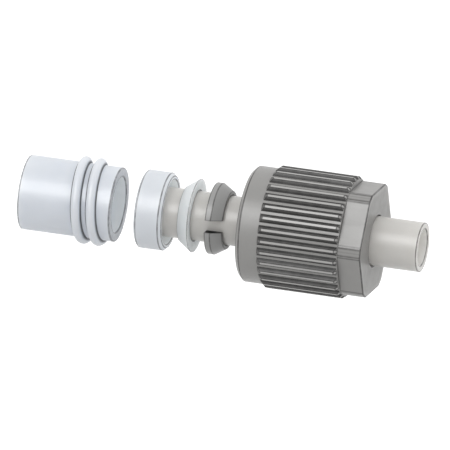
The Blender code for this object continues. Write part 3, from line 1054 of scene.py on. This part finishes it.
        # Painted shade on the flanks, darker further down, and on the turn at the rib tops, through the corner tone.
        down = np.clip((self.rib_top - radius) / (self.rib_top - self.rib_floor), 0.0, 1.0)
        flank = np.where((across > top) & (across < foot), np.minimum(self.flank_shade + down, 1.0), 0.0)
        turning = (np.abs(across - top) < self.rib_arc) & (edge > 0.0)
        corner = np.maximum(corner, np.maximum(flank, self.turn_shade * turning))
        place = np.concatenate([across, pitch - across[-2:0:-1]])
        turn = (np.arange(self.rib_count)[:, None] + place / pitch).ravel() * TAU / self.rib_count
        mirrored = [np.concatenate([column, column[-2:0:-1]]) for column in (radius, edge, corner)]
        return turn, *[np.tile(column, self.rib_count) for column in mirrored]

    def grip_patch(self) -> Patch:
        """Make the ribbed grip.

        Each column climbs at 45 degrees from the collar to its own radius, runs along the grip and comes down at 45
        degrees to the end face, so the creases between flanks and slopes are rows of the grid.

        Returns:
            The patch.
        """
        angle, radius, edge, corner = self.rib_section()
        start, end, bevel = self.collar, self.collar + self.grip, self.end_bevel
        last = np.minimum(radius, self.collar_radius + self.end_step)
        climb = (radius - self.collar_radius)[:, None]
        corners = profiles((start - self.patch_gap, self.collar_radius), (start, self.collar_radius),
                           (start + climb[:, 0], radius), (end - (radius - last) - bevel, radius),
                           (end, last - bevel), (end, last - 2.5 * bevel))
        radii = np.minimum(self.slope_arc_share * climb, self.slope_arcs)
        points, row_edge, row_corner = rounded(corners, radii, self.rib_steps, self.slope_guard)
        raised = np.clip((radius - self.rib_floor) / self.raised_depth, 0.0, 1.0)[:, None]
        along, height = points[..., 0], points[..., 1]
        edges = np.maximum(row_edge * raised, edge[:, None] * (height > self.rib_top - self.top_depth))
        # Painted shade along the flanks, in the creases and on the sloping ends of the ribs, through the corner tone.
        inside = (along > start + climb / 2) & (along < end - self.end_inset)
        slope = (along > start + self.slope_inset) & (along < start + climb - self.slope_inset)
        shaded = np.maximum(corner[:, None] * inside, self.crease_shade * row_corner * raised)
        return side_by_side(points, angle, edges, np.maximum(shaded, self.slope_shade * slope * raised))

    def hex_section(self) -> tuple[Array, Array, Array]:
        """Work out the hexagon's outline.

        The corners lie on the collar's circle R. A fillet f joins them to the flats at distance d: its centre lies
        at R - f from the axis and at d - f along the flat's normal.

        Returns:
            Angles, radii, and how much each column lies on an edge, most at the two ends of each fillet.
        """
        centre_r = self.collar_radius - self.hex_fillet
        off = math.acos((self.flat - self.hex_fillet) / centre_r)
        centre = np.array([self.flat - self.hex_fillet, centre_r * math.sin(off)])
        side = centre[1] * np.array(self.flat_shares)
        flat = np.stack([np.full(len(side), self.flat), side], axis=-1)
        turn = off * np.linspace(0.0, 1.0, self.fillet_steps)
        fillet = centre + self.hex_fillet * np.stack([np.cos(turn), np.sin(turn)], axis=-1)
        tip = off + (np.pi / 6 - off) * np.array(self.tip_shares)
        arc = self.collar_radius * np.stack([np.cos(tip), np.sin(tip)], axis=-1)
        half = np.concatenate([flat, fillet, arc])
        place, radius, edge = np.arctan2(half[:, 1], half[:, 0]), np.hypot(half[:, 0], half[:, 1]), self.hex_tones
        place = np.concatenate([-place[:0:-1], place[:-1]])
        angle = (np.arange(6)[:, None] * np.pi / 3 + np.pi / 6 + place).ravel()
        return angle, *[np.tile(np.concatenate([column[:0:-1], column[:-1]]), 6) for column in (radius, edge)]

    def hex_patch(self) -> Patch:
        """Make the hexagon from the grip's end face to the cap's right face, its right edge rounded.

        Returns:
            The patch. A line of painted shade lies along its root, and a little painted shade on its right face.
        """
        angle, radius, edge = self.hex_section()
        start, end = self.collar + self.grip, self.collar + self.grip + self.hexagon
        corners = profiles((start, radius), (end, radius), (end, radius - self.hex_face))
        points, row_edge, _ = rounded(corners, np.full((len(radius), 1), self.outer_arc))
        root = points[:, :1] + np.array([self.root_line, 0.0])
        points = np.concatenate([points[:, :1], root, points[:, 1:]], axis=1)
        on_side = points[..., 1] > radius[:, None] - self.side_depth
        edges = np.maximum(np.pad(row_edge, [(0, 0), (1, 0)]), edge[:, None] * on_side)
        # Painted shade along the hexagon's root and on the right face, through the corner tone.
        shaded = np.zeros_like(edges)
        shaded[:, 0] = self.root_shade
        shaded[:, -1] = self.right_face_shade
        return side_by_side(points, angle, edges, shaded)

    def skin(self) -> list[Patch]:
        """The hollow with the collar, the grip and the hexagon."""
        return [self.hollow_and_collar(), self.grip_patch(), self.hex_patch()]


@dataclass
class PlasticTube(Piece):
    """Extruded tube, 8 mm outside and 6 mm inside, cut square."""

    name: ClassVar[str] = "tube_fine"
    node: ClassVar[str] = "tube"
    body: ClassVar[str] = "tube"
    finish: ClassVar[Finish] = TUBE
    outer: float = 4.0
    bore: float = 3.0
    edge: float = 0.07

    def skin(self) -> list[Patch]:
        """Make one profile as long as the CAD tube.

        Returns:
            One patch.
        """
        low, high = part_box("tube")
        length = (high.x - low.x) / MM
        wall = (self.outer + self.bore) / 2
        corners = [(0.0, wall), (0.0, self.outer), (length, self.outer), (length, self.bore), (0.0, self.bore),
                   (0.0, wall)]
        return [lathe(corners, [self.edge] * 4).without_last_row()]


# Stage

@dataclass
class Studio:
    """Camera, lamp, world and floor.

    The world is even and white. The floor's bounce is weaker, so a colour renders as written on top, a little darker
    at the sides and darker still below. The lamp only gives the soft band of gloss. Angles are degrees.
    """

    azimuth: float = 14.3
    elevation: float = 15.53
    roll: float = 4.1
    view_width: float = 72.0
    lift: float = -0.864
    slide: float = 0.016
    distance: float = 300.0
    gloss_light: float = 2.3
    gloss_from: tuple[float, float, float] = (-0.238, -0.805, 0.543)
    gloss_spread: float = 40.0
    floor_depth: float = 40.0
    floor_reach: float = 800.0
    floor_bounce: float = 0.58
    floor_white: float = 0.9
    floor_glow: float = 0.3

    def add_camera(self) -> None:
        """Parallel camera at the picture's viewing angle, rolled a little, framed on the row's middle."""
        turn, rise = math.radians(self.azimuth), math.radians(self.elevation)
        back = Vector((math.sin(turn) * math.cos(rise), -math.cos(turn) * math.cos(rise), math.sin(rise)))
        pose = (-back).to_track_quat("-Z", "Y") @ Quaternion((0.0, 0.0, 1.0), math.radians(self.roll))
        camera = bpy.data.objects.new("camera", bpy.data.cameras.new("camera"))
        camera.data.type = "ORTHO"
        camera.data.ortho_scale = self.view_width * MM
        camera.data.clip_start = 0.01
        camera.data.clip_end = 5.0
        camera.rotation_mode = "QUATERNION"
        camera.rotation_quaternion = pose
        side, top = pose @ Vector((1.0, 0.0, 0.0)), pose @ Vector((0.0, 1.0, 0.0))
        middle = Vector(((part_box("threaded_glass_end")[0].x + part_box("tube")[1].x) / 2, 0.0, 0.0))
        camera.location = middle + (back * self.distance + top * self.lift + side * self.slide) * MM
        bpy.context.scene.collection.objects.link(camera)
        bpy.context.scene.camera = camera

    def add_gloss_light(self) -> None:
        """Soft sun over the viewer's left shoulder that only shows in reflections."""
        lamp = bpy.data.lights.new("gloss_light", "SUN")
        lamp.energy = self.gloss_light
        lamp.angle = math.radians(self.gloss_spread)
        item = bpy.data.objects.new("gloss_light", lamp)
        item.visible_diffuse = False
        item.rotation_mode = "QUATERNION"
        item.rotation_quaternion = Vector(self.gloss_from).to_track_quat("Z", "Y")
        bpy.context.scene.collection.objects.link(item)

    def add_world(self) -> None:
        """Even white world, which lights the object and is its background."""
        world = bpy.data.worlds.new("studio")
        world.use_nodes = True
        world.node_tree.nodes["Background"].inputs["Color"].default_value = (1.0, 1.0, 1.0, 1.0)
        bpy.context.scene.world = world

    def add_floor(self) -> None:
        """White floor that keeps the object's shadow; its bounce on the object is that of a grey table."""
        reach, height = self.floor_reach * MM, -self.floor_depth * MM
        mesh = bpy.data.meshes.new("floor")
        mesh.from_pydata([(x * reach, y * reach, height) for x, y in ((-1, -1), (1, -1), (1, 1), (-1, 1))],
                         [], [(0, 1, 2, 3)])
        look = bpy.data.materials.new("studio_floor")
        look.use_nodes = True
        graph = Graph(look.node_tree)
        look.node_tree.nodes.remove(look.node_tree.nodes["Principled BSDF"])
        rays = graph.add("LightPath").outputs
        seen = graph.math("MAXIMUM", rays["Is Camera Ray"], rays["Is Glossy Ray"])
        bounce, white = (self.floor_bounce,) * 3 + (1.0,), (self.floor_white,) * 3 + (1.0,)
        plain = graph.add("BsdfDiffuse", {"Color": graph.mix(seen, bounce, white)}).outputs[0]
        glow = graph.add("Emission", {"Strength": graph.math("MULTIPLY", seen, self.floor_glow)}).outputs[0]
        both = graph.add("AddShader", {0: plain, 1: glow}).outputs[0]
        graph.fill(look.node_tree.nodes["Material Output"], {"Surface": both})
        mesh.materials.append(look)
        floor = bpy.data.objects.new("floor", mesh)
        bpy.context.scene.collection.objects.link(floor)

    def build(self) -> None:
        """Set up the whole stage."""
        self.add_camera()
        self.add_gloss_light()
        self.add_world()
        self.add_floor()
        bpy.context.scene.view_settings.view_transform = "Standard"


def main() -> None:
    """Build the pieces in the order of the row, then the stage."""
    logging.basicConfig(level=logging.INFO, format="%(name)s: %(message)s")
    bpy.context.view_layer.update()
    groups = Groups()
    for piece in (GlassEnd(), SealingInsert(), SealingCone(), ClampingRing(), ScrewCap(), PlasticTube()):
        piece.build(groups)
    Studio().build()


if __name__ == "__main__":
    main()
